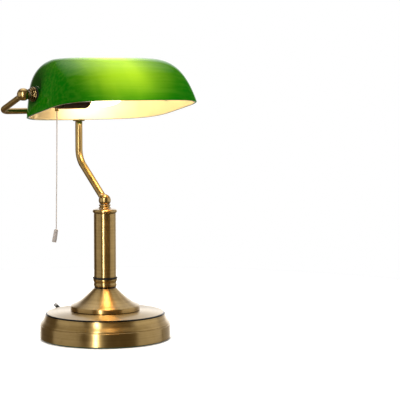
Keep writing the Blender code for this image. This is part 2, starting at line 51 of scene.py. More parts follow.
scene = bpy.context.scene
scene.view_settings.view_transform = "Standard"
scene.cycles.use_denoising = True
scene.cycles.sample_clamp_indirect = 6.0

PIVOT = Vector(next(j["pos_m"] for j in frame["joints"] if j["name"] == "shade_tilt")) / MM
PIVOT_X = 123.5  # centres of the two end balls
ARM_BALL = Vector((0, 0, 187.3))
ARM_BACK = 62.5  # how far back the arm's upper part and the yoke stand
HUB = Vector((0, ARM_BACK, 307.4))
BALL_R, HUB_R = 8.3, 7.5
ARM_R, YOKE_R = 5.0, 4.0
ARM_SOCKET, YOKE_SOCKET = 5.15, 4.15  # holes that the tubes sit in
ROD_HOLE, NIPPLE_HOLE = 5.3, 5.15
SCREW_HOLE = 2.1
LEFT, RIGHT, BACK, UP, DOWN = (-1, 0, 0), (1, 0, 0), (0, 1, 0), (0, 0, 1), (0, 0, -1)


# Camera

CAMERA_AT = (-1.16187, -1.71629, 0.35467)
HEADING = math.radians(37.648)  # from +Y towards +X
PITCH = math.radians(4.620)  # downwards
LENS = 138.6


def add_camera():
    data = bpy.data.cameras.new("camera")
    data.lens = LENS
    data.sensor_width = 36.0
    data.clip_start, data.clip_end = 0.05, 50.0
    camera = bpy.data.objects.new("camera", data)
    scene.collection.objects.link(camera)
    camera.location = CAMERA_AT
    aim = Vector((math.sin(HEADING) * math.cos(PITCH), math.cos(HEADING) * math.cos(PITCH),
                  -math.sin(PITCH)))
    camera.rotation_euler = aim.to_track_quat("-Z", "Y").to_euler()
    scene.camera = camera


add_camera()


# Meshes


def new_object(name, data, at=(0, 0, 0), axis=UP):
    """An object whose own Z points along axis, at a point in millimetres."""
    obj = bpy.data.objects.new(name, data)
    scene.collection.objects.link(obj)
    obj.location = Vector(at) * MM
    obj.rotation_euler = Vector(UP).rotation_difference(Vector(axis)).to_euler()
    return obj


def mesh_of(name, points, faces, merge=False):
    """A mesh with its normals facing out, smooth but for sharp edges. merge joins points that meet."""
    data = bpy.data.meshes.new(name)
    data.from_pydata([tuple(p) for p in points], [], faces)
    mesh = bmesh.new()
    mesh.from_mesh(data)
    if merge:
        bmesh.ops.remove_doubles(mesh, verts=mesh.verts, dist=0.00003)
        bmesh.ops.dissolve_degenerate(mesh, edges=mesh.edges, dist=0.00001)
    bmesh.ops.recalc_face_normals(mesh, faces=mesh.faces)
    mesh.to_mesh(data)
    mesh.free()
    data.shade_smooth()
    data.set_sharp_from_angle(angle=math.radians(50))
    return data


def store_local(data, points):
    """Keeps each point's place on its own piece, so that a finish moves with the piece."""
    attribute = data.attributes.new("local", "FLOAT_VECTOR", "POINT")
    attribute.data.foreach_set("vector", np.asarray(points, np.float32).ravel())


def curve(points, per_span=8):
    """A smooth line through the points, of any dimension."""
    points = [np.array(p, float) for p in points]
    ends = [points[0] * 2 - points[1], *points, points[-1] * 2 - points[-2]]
    made = []
    for a, b, c, d in zip(ends, ends[1:], ends[2:], ends[3:]):
        for i in range(per_span):
            t = i / per_span
            made.append(0.5 * (2 * b + (c - a) * t + (2 * a - 5 * b + 4 * c - d) * t ** 2
                               + (3 * b - a - 3 * c + d) * t ** 3))
    return [tuple(p) for p in made] + [tuple(points[-1])]


def arc(centre, radius, start, end, steps):
    angles = [math.radians(start + (end - start) * i / steps) for i in range(steps + 1)]
    return [(centre[0] + radius * math.cos(a), centre[1] + radius * math.sin(a)) for a in angles]


def rounded(profile, radius):
    """(points, closed): the profile with rounded corners, and a point beside each to keep flats flat.

    A profile that ends on the axis at both ends is open, and any other one closes on itself.
    """
    closed = profile[0][0] > 1e-6 or profile[-1][0] > 1e-6
    count = len(profile)
    points = [Vector(p) for p in profile]
    made = []
    for i, corner in enumerate(points):
        if not closed and i in (0, count - 1):
            made.append(tuple(corner))
            continue
        back, ahead = points[i - 1] - corner, points[(i + 1) % count] - corner
        if back.length < 1e-6 or ahead.length < 1e-6:
            continue
        turn = math.pi - back.angle(ahead)
        if turn < math.radians(20):
            made.append(tuple(corner))
            continue
        reach = min(radius * math.tan(turn / 2), 0.4 * back.length, 0.4 * ahead.length)
        start, end = corner + back.normalized() * reach, corner + ahead.normalized() * reach
        if back.length > 6 * reach:
            made.append(tuple(start + back.normalized() * reach * 0.6))
        for step in range(5):
            t = step / 4
            made.append(tuple(start * (1 - t) ** 2 + corner * 2 * t * (1 - t) + end * t ** 2))
        if ahead.length > 6 * reach:
            made.append(tuple(end + ahead.normalized() * reach * 0.6))
    return made, closed


def ring_faces(rings, closed, steps):
    """Faces between neighbouring rings of point numbers. A ring of one point is a tip."""
    pairs = list(zip(rings, rings[1:]))
    if closed:
        pairs.append((rings[-1], rings[0]))
    faces = []
    for low, high in pairs:
        if len(low) == 1 and len(high) == 1:
            continue
        for i in range(steps):
            j = (i + 1) % steps
            if len(low) == 1:
                faces.append((low[0], high[j], high[i]))
            elif len(high) == 1:
                faces.append((low[i], low[j], high[0]))
            else:
                faces.append((low[i], low[j], high[j], high[i]))
    return faces


def lathe(name, profile, at=(0, 0, 0), axis=UP, steps=128, rounding=0.35, flutes=None):
    """A piece turned about its own Z.

    flutes = (low, high, least radius, count, depth) cuts grooves in its side.
    """
    line, closed = rounded(profile, rounding)
    rings, points = [], []
    for r, z in line:
        if r < 1e-6:
            rings.append([len(points)])
            points.append((0.0, 0.0, z * MM))
            continue
        rings.append(list(range(len(points), len(points) + steps)))
        for i in range(steps):
            a = 2 * math.pi * i / steps
            radius = r
            if flutes:
                low, high, least, count, depth = flutes
                if low <= z <= high and r >= least:
                    radius -= depth * (0.5 - 0.5 * math.cos(count * a))
            points.append((radius * math.cos(a) * MM, radius * math.sin(a) * MM, z * MM))
    data = mesh_of(name, points, ring_faces(rings, closed, steps))
    store_local(data, points)
    return new_object(name, data, at, axis)


def ring(radius, bore, low, high):
    """The profile of a plain washer."""
    return [(radius, high), (radius, low), (bore, low), (bore, high)]


def even_steps(points, spacing):
    """The points, with more between them about this far apart."""
    made = [points[0]]
    for a, b in zip(points, points[1:]):
        parts = max(1, round((b - a).length / spacing))
        made += [a.lerp(b, i / parts) for i in range(1, parts + 1)]
    return made


def bent_path(corners, bends, arc_steps=20):
    """Points along the corners, each inner corner rounded to its bend radius."""
    points = [Vector(corners[0])]
    for before, corner, after, radius in zip(corners, corners[1:], corners[2:], bends):
        corner = Vector(corner)
        back = (Vector(before) - corner).normalized()
        ahead = (Vector(after) - corner).normalized()
        half = back.angle(ahead) / 2
        centre = corner + (back + ahead).normalized() * radius / math.sin(half)
        start = corner + back * radius / math.tan(half) - centre
        turn_axis = start.cross(corner + ahead * radius / math.tan(half) - centre).normalized()
        sweep = math.pi - 2 * half
        points += [centre + Matrix.Rotation(sweep * i / arc_steps, 3, turn_axis) @ start
                   for i in range(arc_steps + 1)]
    points.append(Vector(corners[-1]))
    return even_steps(points, 6.0)


def frames_along(path):
    """(point, side, other side, distance) at each point of a path, with no twist."""
    spans = [(b - a).normalized() for a, b in zip(path, path[1:])]
    between = [(a + b).normalized() for a, b in zip(spans, spans[1:])]
    tangents = [spans[0], *between, spans[-1]]
    side = tangents[0].orthogonal().normalized()
    made, travelled = [], 0.0
    for i, (point, tangent) in enumerate(zip(path, tangents)):
        if i:
            travelled += (point - path[i - 1]).length
            side = tangents[i - 1].rotation_difference(tangent) @ side
            side = (side - tangent * side.dot(tangent)).normalized()
        made.append((point, side, tangent.cross(side), travelled))
    return made


def tube(name, path, radius, bore=0.0, around=48, relief=None):
    """A round tube or, with no bore, a rod along the path. relief(angle, distance) raises its side."""
    places = frames_along(path)
    first, last = places[0], places[-1]
    edge = 0.3 if bore else 0.12  # how far its ends are chamfered
    outer = [(first, radius - edge), *[(p, radius) for p in places[1:-1]], (last, radius - edge)]
    if bore:
        rings = outer + [(p, bore) for p in reversed(places)]
    else:
        rings = [(first, 0.0), *outer, (last, 0.0)]
    points, local, indices = [], [], []
    for (point, side, other, travelled), size in rings:
        if size == 0.0:
            indices.append([len(points)])
            points.append(tuple(point * MM))
            local.append((0.0, 0.0, travelled * MM))
            continue
        indices.append(list(range(len(points), len(points) + around)))
        for i in range(around):
            a = 2 * math.pi * i / around
            r = size + (relief(a, travelled) if relief else 0.0)
            points.append(tuple((point + side * r * math.cos(a) + other * r * math.sin(a)) * MM))
            local.append((r * math.cos(a) * MM, r * math.sin(a) * MM, travelled * MM))
    data = mesh_of(name, points, ring_faces(indices, bool(bore), around))
    store_local(data, local)
    return new_object(name, data)


def eased(path, length=0.3):
    """The path with one more point just inside each end, for the tube's rounded ends."""
    first = path[0] + (path[1] - path[0]).normalized() * length
    last = path[-1] + (path[-2] - path[-1]).normalized() * length
    return [path[0], first, *path[1:-1], last, path[-1]]


def cutter(radius, low, high, at, axis, steps=48):
    """A cylinder from low to high along axis, past the given point. Six steps make a hexagon."""
    mesh = bmesh.new()
    bmesh.ops.create_cone(mesh, cap_ends=True, segments=steps, radius1=radius * MM, radius2=radius * MM,
                          depth=(high - low) * MM)
    bmesh.ops.translate(mesh, verts=mesh.verts, vec=(0, 0, (low + high) / 2 * MM))
    data = bpy.data.meshes.new("cutter")
    mesh.to_mesh(data)
    mesh.free()
    return new_object("cutter", data, at, axis)


def combine(obj, tools):
    """Applies (cutter object, operation) pairs in turn, then removes the cutters."""
    for tool, operation in tools:
        modifier = obj.modifiers.new("cut", "BOOLEAN")
        modifier.operation = operation
        modifier.object = tool
        modifier.solver = "EXACT"
    bpy.context.view_layer.update()
    graph = bpy.context.evaluated_depsgraph_get()
    data = bpy.data.meshes.new_from_object(obj.evaluated_get(graph))
    obj.modifiers.clear()
    obj.data = data
    for tool, _ in tools:
        bpy.data.objects.remove(tool, do_unlink=True)
    data.shade_smooth()
    data.set_sharp_from_angle(angle=math.radians(40))
    if "local" in data.attributes:
        data.attributes.remove(data.attributes["local"])
    store_local(data, [v.co for v in data.vertices])


def drilled(obj, holes):
    """Cuts round holes, each (radius, low, high, at, axis)."""
    combine(obj, [(cutter(*hole), "DIFFERENCE") for hole in holes])


# Materials


def feed(socket, value):
    """Links an input socket to another socket, or sets it to a value."""
    if isinstance(value, bpy.types.NodeSocket):
        socket.id_data.links.new(value, socket)
    else:
        socket.default_value = value


def node(tree, kind, inputs=(), **settings):
    """Adds a shader node. inputs maps its sockets to values or to other sockets."""
    made = tree.nodes.new("ShaderNode" + kind)
    for key, value in settings.items():
        setattr(made, key, value)
    for key, value in dict(inputs).items():
        feed(made.inputs[key], value)
    return made


def new_material(name, coords="local"):
    """(material, Principled node, place vector), the place stored in the mesh or the object's own."""
    material = bpy.data.materials.new(name)
    material.use_nodes = True
    tree = material.node_tree
    if coords == "local":
        stored = node(tree, "Attribute", attribute_name="local", attribute_type="GEOMETRY")
        place = stored.outputs["Vector"]
    else:
        place = node(tree, "TexCoord").outputs["Object"]
    return material, tree.nodes["Principled BSDF"], place


# The helpers below work in the tree of the socket or node that they are given.


def noise(vector, scale, detail=4.0, roughness=0.55, distortion=0.0):
    return node(vector.id_data, "TexNoise", {"Vector": vector, "Scale": scale, "Detail": detail,
                                             "Roughness": roughness,
                                             "Distortion": distortion}).outputs["Fac"]


def remap(value, low, high, to_low=0.0, to_high=1.0):
    return node(value.id_data, "MapRange", {"Value": value, "From Min": low, "From Max": high,
                                            "To Min": to_low, "To Max": to_high}).outputs["Result"]


def math_node(operation, *values, clamp=False):
    return node(values[0].id_data, "Math", dict(enumerate(values)), operation=operation,
                use_clamp=clamp).outputs["Value"]


def mix_color(share, a, b, blend="MIX"):
    """a where share is 0, b where it is 1; a and b are colours or sockets."""
    made = node(share.id_data, "Mix", {0: share}, data_type="RGBA", blend_type=blend)
    for slot, value in ((6, a), (7, b)):
        feed(made.inputs[slot], value if isinstance(value, bpy.types.NodeSocket) else (*value, 1.0))
    return made.outputs[2]


def vector_node(operation, *values):
    made = node(values[0].id_data, "VectorMath", dict(enumerate(values)), operation=operation)
    return made.outputs["Value" if operation in ("LENGTH", "DOT_PRODUCT") else "Vector"]


def scaled(vector, scale):
    return vector_node("MULTIPLY", vector, scale)


def weighted(a, a_share, b, b_share):
    """a * a_share + b * b_share."""
    return math_node("ADD", math_node("MULTIPLY", a, a_share), math_node("MULTIPLY", b, b_share))


def coordinate(place, axis):
    return node(place.id_data, "SeparateXYZ", {"Vector": place}).outputs[axis]


def from_axis(place):
    """(distance from a piece's own Z, place with no height)."""
    flat = node(place.id_data, "CombineXYZ", {"X": coordinate(place, "X"), "Y": coordinate(place, "Y")})
    flat = flat.outputs["Vector"]
    return vector_node("LENGTH", flat), flat


def round_grain(place):
    """Coordinates that change across the turned lines of a piece and hardly along them."""
    r, flat = from_axis(place)
    lines = node(place.id_data, "CombineXYZ", {"X": r, "Y": coordinate(place, "Z")}).outputs["Vector"]
    return vector_node("ADD", lines, scaled(flat, (0.003, 0.003, 0.0)))


def long_grain(place):
    """Coordinates that change round a drawn tube and hardly along it."""
    return scaled(place, (1.0, 1.0, 0.003))


def surface(shader, color, roughness, others=()):
    """Gives the shader a colour, a roughness and any other inputs, each a value or a socket."""
    for key, value in {"Base Color": color, "Roughness": roughness, **dict(others)}.items():
        feed(shader.inputs[key], value)


def bump(shader, height, strength, distance):
    made = node(shader.id_data, "Bump", {"Height": height, "Strength": strength, "Distance": distance})
    feed(shader.inputs["Normal"], made.outputs["Normal"])


def lit_through(shader, color, share):
    """Mixes in this share of light that comes through from behind."""
    tree = shader.id_data
    behind = node(tree, "BsdfTranslucent", {"Color": color})
    both = node(tree, "MixShader", {0: share, 1: shader.outputs["BSDF"], 2: behind.outputs["BSDF"]})
    feed(tree.nodes["Material Output"].inputs["Surface"], both.outputs["Shader"])


BRASS_DULL, BRASS_BRIGHT = (0.285, 0.188, 0.064), (0.435, 0.303, 0.118)
PATINA, RUBBED = (0.055, 0.033, 0.014), (0.66, 0.50, 0.27)


def brass(name, grain="round", coords="local", rough=0.33, anisotropy=0.92, recess=None, shade=1.0):
    """Lacquered antique brass: fine brushed lines, patina that gathers in recesses, edges rubbed bright.

    recess = (least radius, most radius, lowest, highest) is a turned groove coloured almost black, as
    painted shade.
    """
    material, shader, place = new_material(name, coords)
    along = {"round": round_grain, "long": long_grain}[grain](place)
    fine = noise(along, 2600.0, 5.0, 0.7)
    broad = noise(along, 420.0, 3.0, 0.6)
    cloud = noise(place, 38.0, 5.0, 0.6, 0.6)
    speck = noise(place, 1100.0, 3.0, 0.55)
    tone = weighted(broad, 0.5, cloud, 0.5)
    dull, bright = ([c * shade for c in tint] for tint in (BRASS_DULL, BRASS_BRIGHT))
    color = mix_color(remap(tone, 0.36, 0.64), dull, bright)
    color = mix_color(remap(speck, 0.70, 0.82, 0.0, 0.2), color, (0.10, 0.065, 0.03))
    edges = node(place.id_data, "NewGeometry").outputs["Pointiness"]
    color = mix_color(remap(edges, 0.42, 0.49, 0.7, 0.0), color, PATINA)
    color = mix_color(remap(edges, 0.52, 0.60, 0.0, 0.5), color, RUBBED)
    if recess:
        # Painted shade: the groove is coloured almost black where shade falls in it.
        inside = groove_mask(place, *(size * MM for size in recess))
        color = mix_color(inside, color, (0.006, 0.005, 0.005))
    worn = remap(weighted(fine, 0.14, cloud, 0.10), 0.06, 0.18, rough - 0.05, rough + 0.06)
    surface(shader, color, worn, {"Metallic": 1.0, "Anisotropic": anisotropy, "Coat Weight": 0.28,
                                  "Coat Roughness": 0.16})
    if anisotropy:
        tangent = node(place.id_data, "Tangent", direction_type="RADIAL", axis="Z")
        feed(shader.inputs["Tangent"], tangent.outputs["Tangent"])
        feed(shader.inputs["Anisotropic Rotation"], 0.25)
    bump(shader, math_node("ADD", fine, broad), 0.06 if grain == "round" else 0.01, 0.00004)
    return material


def groove_mask(place, inner, outer, low, high):
    """1 inside a turned groove between two radii and two heights, 0 outside."""
    r, z = from_axis(place)[0], coordinate(place, "Z")
    across = math_node("MULTIPLY", math_node("GREATER_THAN", r, inner), math_node("LESS_THAN", r, outer))
    along = math_node("MULTIPLY", math_node("GREATER_THAN", z, low), math_node("LESS_THAN", z, high))
    return math_node("MULTIPLY", across, along)


def steel(name, coords="object"):
    """Zinc-plated steel, slightly cloudy."""
    material, shader, place = new_material(name, coords)
    cloud = noise(place, 160.0, 5.0, 0.6, 0.8)
    lines = noise(round_grain(place), 2400.0, 4.0, 0.6)
    color = mix_color(cloud, (0.36, 0.37, 0.38), (0.66, 0.66, 0.64))
    surface(shader, color, remap(lines, 0.3, 0.7, 0.26, 0.46), {"Metallic": 1.0})
    bump(shader, lines, 0.15, 0.00005)
    return material


def cast_iron(name):
    """Black-painted sand casting."""
    material, shader, place = new_material(name, "object")
    grains = noise(place, 900.0, 5.0, 0.65)
    rust = remap(noise(place, 60.0, 6.0, 0.7, 0.5), 0.56, 0.68)
    color = mix_color(rust, (0.028, 0.028, 0.028), (0.11, 0.05, 0.025))
    surface(shader, color, remap(grains, 0.3, 0.7, 0.45, 0.75))
    bump(shader, grains, 0.7, 0.0004)
    return material


def felt(name):
    """Pressed wool: short fibres lying every way, with painted shade in the hollows."""
    material, shader, place = new_material(name)
    warp = node(place.id_data, "TexNoise", {"Vector": place, "Scale": 260.0, "Detail": 2.0})
    moved = vector_node("ADD", place, scaled(warp.outputs["Color"], (0.006, 0.006, 0.006)))
    across, down = (noise(scaled(moved, squeeze), 3200.0, 3.0)
                    for squeeze in ((0.15, 1.0, 1.0), (1.0, 0.15, 1.0)))
    fibres = math_node("MAXIMUM", across, down)
    tufts = noise(place, 220.0, 4.0, 0.6)
    # Painted shade: the fibre noise that raises the bump also darkens its low places.
    color = mix_color(remap(fibres, 0.45, 0.72), (0.008, 0.032, 0.016), (0.035, 0.13, 0.06))
    color = mix_color(remap(tufts, 0.4, 0.6, 0.0, 0.4), color, (0.02, 0.07, 0.032))
    surface(shader, color, remap(fibres, 0.4, 0.7, 1.0, 0.85),
            {"Sheen Weight": 0.6, "Sheen Roughness": 0.45})
    bump(shader, math_node("ADD", fibres, tufts), 0.8, 0.0004)
    return material


def moulded(name, dark, light, rough, coords="local", gloss=0.0, shine=0.5):
    """Pressed plastic or Bakelite: faint flow marks, fine pitting and a slight dull bloom."""
    material, shader, place = new_material(name, coords)
    flow = noise(place, 140.0, 4.0, 0.55, 1.6)
    pits = noise(place, 2600.0, 3.0, 0.5)
    bloom = noise(place, 70.0, 4.0, 0.6)
    color = mix_color(remap(flow, 0.4, 0.62), dark, light)
    dull = remap(weighted(pits, 0.5, bloom, 0.5), 0.35, 0.65, rough - 0.08, rough + 0.14)
    surface(shader, color, dull, {"Specular IOR Level": shine, "Coat Weight": gloss,
                                  "Coat Roughness": 0.12})
    bump(shader, math_node("ADD", pits, flow), 0.12, 0.0001)
    return material


def ceramic(name):
    """White glazed steatite."""
    material, shader, place = new_material(name, "object")
    cloud = noise(place, 120.0, 4.0)
    color = mix_color(cloud, (0.72, 0.69, 0.61), (0.86, 0.84, 0.78))
    surface(shader, color, remap(cloud, 0.3, 0.7, 0.2, 0.36))
    bump(shader, noise(place, 700.0, 3.0), 0.15, 0.0002)
    return material


# The green glass has painted light round BULB_SPOT and a painted shadow at its left end.
BULB_SPOT = (-0.016, -0.034, 0.006)  # where the glass is brightest, from the shade's pivot
LEFT_END_X = (-0.098, -0.068)  # the glass fades from dark to lit between these


def green_glass(name):
    """Cased green glass lit from inside: deep bottle green, with painted lime where the bulb's light is
    close and strong.
    """
    material, shader, place = new_material(name)
    waves = noise(scaled(place, (1.0, 1.0, 0.6)), 26.0, 2.0, 0.45, 0.4)
    ripples = noise(scaled(place, (0.05, 1.0, 1.0)), 210.0, 3.0, 0.5, 0.2)
    seeds = noise(place, 1500.0, 2.0, 0.5)
    # Painted light from the bulb: the body colour and the light through the glass turn lime towards
    # BULB_SPOT.
    from_bulb = vector_node("SUBTRACT", place, BULB_SPOT)
    away = vector_node("LENGTH", scaled(from_bulb, (0.68, 1.0, 1.45)))
    painted_bulb_light = remap(away, 0.026, 0.087, 1.0, 0.0)
    painted_bulb_light = math_node("ADD", painted_bulb_light, remap(waves, 0.3, 0.7, -0.05, 0.03), clamp=True)
    painted_bulb_light = math_node("POWER", painted_bulb_light, 1.8)
    # Painted shadow of the holder: the left end of the glass is made dark in its body, glow and light
    # through it.
    out_of_holder_shadow = remap(coordinate(place, "X"), *LEFT_END_X)
    painted_bulb_light = math_node("MULTIPLY", painted_bulb_light, out_of_holder_shadow)
    body = mix_color(painted_bulb_light, (0.001, 0.065, 0.001), (0.02, 0.20, 0.003))
    body = mix_color(remap(seeds, 0.66, 0.74, 0.0, 0.35), body, (0.002, 0.035, 0.001))
    body = mix_color(out_of_holder_shadow, (0.0005, 0.028, 0.0005), body)
    # Painted glow: the glass emits a weak green light of its own, dimmer at its left end.
    painted_glow = mix_color(out_of_holder_shadow, (0.0, 0.35, 0.0), (0.002, 1.0, 0.0))
    surface(shader, body, remap(ripples, 0.3, 0.7, 0.05, 0.13),
            {"IOR": 1.52, "Specular IOR Level": 0.22, "Coat Weight": 0.2, "Coat Roughness": 0.03,
             "Emission Color": painted_glow, "Emission Strength": 0.13})
    bump(shader, math_node("ADD", waves, math_node("MULTIPLY", ripples, 0.35)), 0.07, 0.003)
    through = mix_color(painted_bulb_light, (0.002, 0.17, 0.0003), (0.84, 1.0, 0.05))
    # Painted reflection: pale streaks along the glass, screened into the light through it.
    streaked = remap(ripples, 0.42, 0.62, 0.0, 0.05)
    through = mix_color(streaked, through, (0.72, 0.98, 0.14), "SCREEN")
    lit_through(shader, through, 0.5)
    return material


def opal_lining(name):
    """The cream cased layer inside the shade, faintly streaked."""
    material, shader, place = new_material(name)
    cloud = noise(place, 34.0, 4.0, 0.5, 0.5)
    streaks = noise(scaled(place, (0.2, 1.0, 1.0)), 240.0, 3.0)
    color = mix_color(cloud, (0.86, 0.80, 0.64), (0.94, 0.90, 0.78))
    surface(shader, color, remap(streaks, 0.3, 0.7, 0.10, 0.22))
    bump(shader, streaks, 0.1, 0.0008)
    return material


def lit_bulb(name):
    """Glowing opal bulb, duller and warmer towards its neck."""
    material, shader, place = new_material(name)
    neck = remap(coordinate(place, "Z"), 0.012, 0.032)
    frost = noise(place, 420.0, 4.0)
    color = mix_color(frost, (0.88, 0.84, 0.74), (0.96, 0.94, 0.88))
    warm = mix_color(neck, (1.0, 0.72, 0.38), (1.0, 0.5, 0.18))
    surface(shader, color, remap(frost, 0.3, 0.7, 0.22, 0.4),
            {"Emission Color": warm, "Emission Strength": 8.5})
    bump(shader, frost, 0.1, 0.0002)
    return material


def braid(name):
    """Cotton and nylon braid: pale strands, with painted shade a little darker in the gaps between them.
    """
    material, shader, place = new_material(name)
    # Painted shade: where the braid's surface lies lower, in the gaps, its colour is darker.
    raised = remap(from_axis(place)[0], 0.00058, 0.00068)
    fibre = noise(place, 7000.0, 3.0, 0.6)
    color = mix_color(raised, (0.36, 0.32, 0.30), (0.48, 0.435, 0.415))
    color = mix_color(remap(fibre, 0.4, 0.6, 0.0, 0.35), color, (0.58, 0.53, 0.51))
    surface(shader, color, remap(fibre, 0.3, 0.7, 0.6, 0.9), {"Sheen Weight": 0.3})
    bump(shader, fibre, 0.4, 0.00008)
    return material


def bob_plastic(name):
    """Smoky translucent moulding."""
    material, shader, place = new_material(name)
    cloud = noise(place, 500.0, 4.0, 0.55, 0.8)
    color = mix_color(cloud, (0.46, 0.42, 0.40), (0.54, 0.50, 0.48))
    surface(shader, color, remap(cloud, 0.3, 0.7, 0.45, 0.6),
            {"Specular IOR Level": 0.3, "Subsurface Weight": 0.25,
             "Subsurface Radius": (0.003, 0.0025, 0.002)})
    lit_through(shader, color, 0.3)
    bump(shader, cloud, 0.1, 0.0002)
    return material


def wire_cover(name):
    """Clear-gold flex with copper strands showing through."""
    material, shader, place = new_material(name, "object")
    strands = noise(place, 1400.0, 3.0)
    color = mix_color(strands, (0.34, 0.22, 0.08), (0.62, 0.46, 0.2))
    surface(shader, color, remap(strands, 0.3, 0.7, 0.3, 0.5))
    bump(shader, strands, 0.2, 0.0001)
    return material


TURNED = brass("brass_turned")
# The base and the collar carry painted shade in the groove under the disc and in the recess under the
# collar.
BASE_BRASS = brass("brass_base", recess=(78.6, 80.75, 32.2, 36.0))
COLLAR_BRASS = brass("brass_collar", recess=(5.0, 20.0, 68.0, 70.7))
# Painted shade: the clamp knobs get a darker copy of the same brass.
SHADED_BRASS = brass("brass_painted_shade", rough=0.24, anisotropy=0.4, shade=0.55)
BALL_BRASS = brass("brass_ball", rough=0.26, anisotropy=0.0)
DRAWN = brass("brass_drawn", grain="long", anisotropy=0.0, rough=0.33)
INNER_BRASS = brass("brass_inner", coords="object", anisotropy=0.0)
STEEL, BRIGHT_STEEL = steel("steel_plated"), steel("steel_fittings", "local")
IRON = cast_iron("iron_cast")
FELT = felt("felt_green")
RUBBER = moulded("rubber_black", (0.007, 0.006, 0.006), (0.016, 0.014, 0.013), 0.55, shine=0.3)
BLACK = moulded("plastic_black", (0.008, 0.007, 0.006), (0.02, 0.018, 0.016), 0.32)
GREY = moulded("plastic_grey", (0.25, 0.25, 0.26), (0.36, 0.36, 0.37), 0.42)
BAKELITE = moulded("bakelite_brown", (0.006, 0.003, 0.002), (0.015, 0.007, 0.004), 0.3, gloss=0.05,
                   shine=0.25)
BAKELITE_INNER = moulded("bakelite_block", (0.018, 0.009, 0.006), (0.055, 0.026, 0.014), 0.3, "object")
CERAMIC = ceramic("ceramic_white")
GLASS = green_glass("glass_green")
OPAL = opal_lining("glass_opal")
BULB = lit_bulb("glass_bulb")
BRAID = braid("cord_braid")
BOB = bob_plastic("bob_smoke")
WIRE = wire_cover("wire_gold")


def finish(obj, material, body, slot, *nodes):
    """Gives a piece its finish and its body, and hides the CAD nodes that it stands for."""
    obj.data.materials.clear()
    obj.data.materials.append(material)
    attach(obj, body)
    if nodes:
        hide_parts(*nodes)


def turned(name, stands_for, material, body, slot, *shape, **more):
    """A lathe piece with its finish and its body; the CAD node that it stands for is hidden."""
    finish(lathe(name, *shape, **more), material, body, slot, stands_for)


# Pull cord: its route repeats the part's, in metres

CORD_ROUTE = [(-0.0725, 0.004, 0.3243), (-0.0725, 0.004, 0.3120), (-0.0725, 0.004, 0.3050),
              (-0.0726, 0.004, 0.2850), (-0.0729, 0.0041, 0.2550), (-0.0733, 0.0042, 0.2250),
              (-0.0738, 0.0043, 0.1950), (-0.0742, 0.0043, 0.1700), (-0.0745, 0.0043, 0.1526)]
CORD_R = 0.65
STRAND_LAY, STRAND_RISE = 3.2, 0.075
BOB_LEAN = math.radians(10.0)


def make_cord():
    """The braided pull cord and the bob at its end."""
    line = even_steps([Vector(p) / MM for p in curve(CORD_ROUTE, 40)], 0.32)

    def strands(angle, distance):
        lay = 2 * math.pi * distance / STRAND_LAY
        one, other = math.cos(4 * angle + lay * 2), math.cos(4 * angle - lay * 2)
        return STRAND_RISE * (max(one, other) - 0.3)

    cord = tube("pull_cord_braid", line, CORD_R, around=24, relief=strands)
    finish(cord, BRAID, "pull", "cord", "pull_cord")

    lean = math.sin(BOB_LEAN)
    hang = Vector((-lean * 0.83, lean * 0.56, -math.cos(BOB_LEAN)))
    at = Vector(CORD_ROUTE[-1]) / MM - Vector((0, 0, 0.3))
    cap = lathe("bob_ferrule", [(0, 4.5), (2.6, 4.5), (2.65, 3.0), (2.5, 1.4), (1.7, 0.3), (0, 0.0)],
                at=at, axis=hang, steps=48, rounding=0.3)
    finish(cap, BOB, "pull", "bob", "bob_cap")
    outline = [(0, 17.2), (1.6, 17.2), (1.9, 17.5), (2.7, 17.5), (2.9, 17.1), (2.9, 12.6), (2.8, 8.0),
               (2.68, 4.7), (0, 4.7)]
    bob = lathe("bob_weight", outline, at=at, axis=hang, steps=64, rounding=0.15)
    finish(bob, BOB, "pull", "bob", "cord_bob")


make_cord()


# Base and stand


# The mains cord's bushing
INLET_TURN, INLET_RISE = math.radians(13.0), math.radians(31.8)
INLET_OUT, INLET_UP = 82.3, 28.6


def make_base():
    skirt = curve([(80.8, 33.7), (81.6, 31.0), (83.4, 26.8), (86.5, 22.4)])
    crown = curve([(46.0, 38.4), (56.0, 37.85), (66.0, 36.9), (78.9, 35.5)], 6)
    outer = [(ROD_HOLE, 38.4), *crown, (79.4, 35.0), (79.5, 32.4), (80.6, 32.4), *skirt, (87.3, 20.9),
             (86.9, 20.2), (88.0, 19.3), (88.2, 1.8)]
    inner = [(86.8, 1.8), (86.8, 18.2), (85.4, 21.0), (82.2, 26.0), (79.3, 31.2), (77.0, 33.9),
             (66.0, 35.6), (46.0, 37.2), (ROD_HOLE, 37.2)]
    shell = lathe("base_shell", outer + inner, steps=192, rounding=0.45)

    rear = Vector((-math.sin(INLET_TURN), math.cos(INLET_TURN), 0))
    axis = rear * math.cos(INLET_RISE) + Vector((0, 0, math.sin(INLET_RISE)))
    seat = rear * INLET_OUT + Vector((0, 0, INLET_UP))
    drilled(shell, [(3.0, -7, 7, seat, axis)])
    finish(shell, BASE_BRASS, "root", "brass", "base_cover")

    sleeve = [(2.6, 11.0), (2.6, 2.9), (4.0, 2.4), (4.0, 1.4), (2.7, 1.2), (2.7, -3.6), (1.6, -3.6),
              (1.6, 11.0)]
    turned("cord_bushing_sleeve", "cord_bushing", BLACK, "root", "black_plastic", sleeve, seat, axis,
           48, 0.2)
    nose = [(2.2, 15.6), (2.6, 14.8), (2.6, 11.3), (1.6, 11.3), (1.6, 15.6)]
    turned("cord_bushing_nose", "bushing_collar", GREY, "root", "grey_plastic", nose, seat, axis,
           48, 0.2)

    radii = (0, 30.0, 60.0, 84.5)
    pad = [(r, 1.5) for r in radii] + [(r, 0.0) for r in reversed(radii)]
    turned("base_pad", "base_felt_pad", FELT, "root", "felt", pad, steps=160, rounding=0.5)


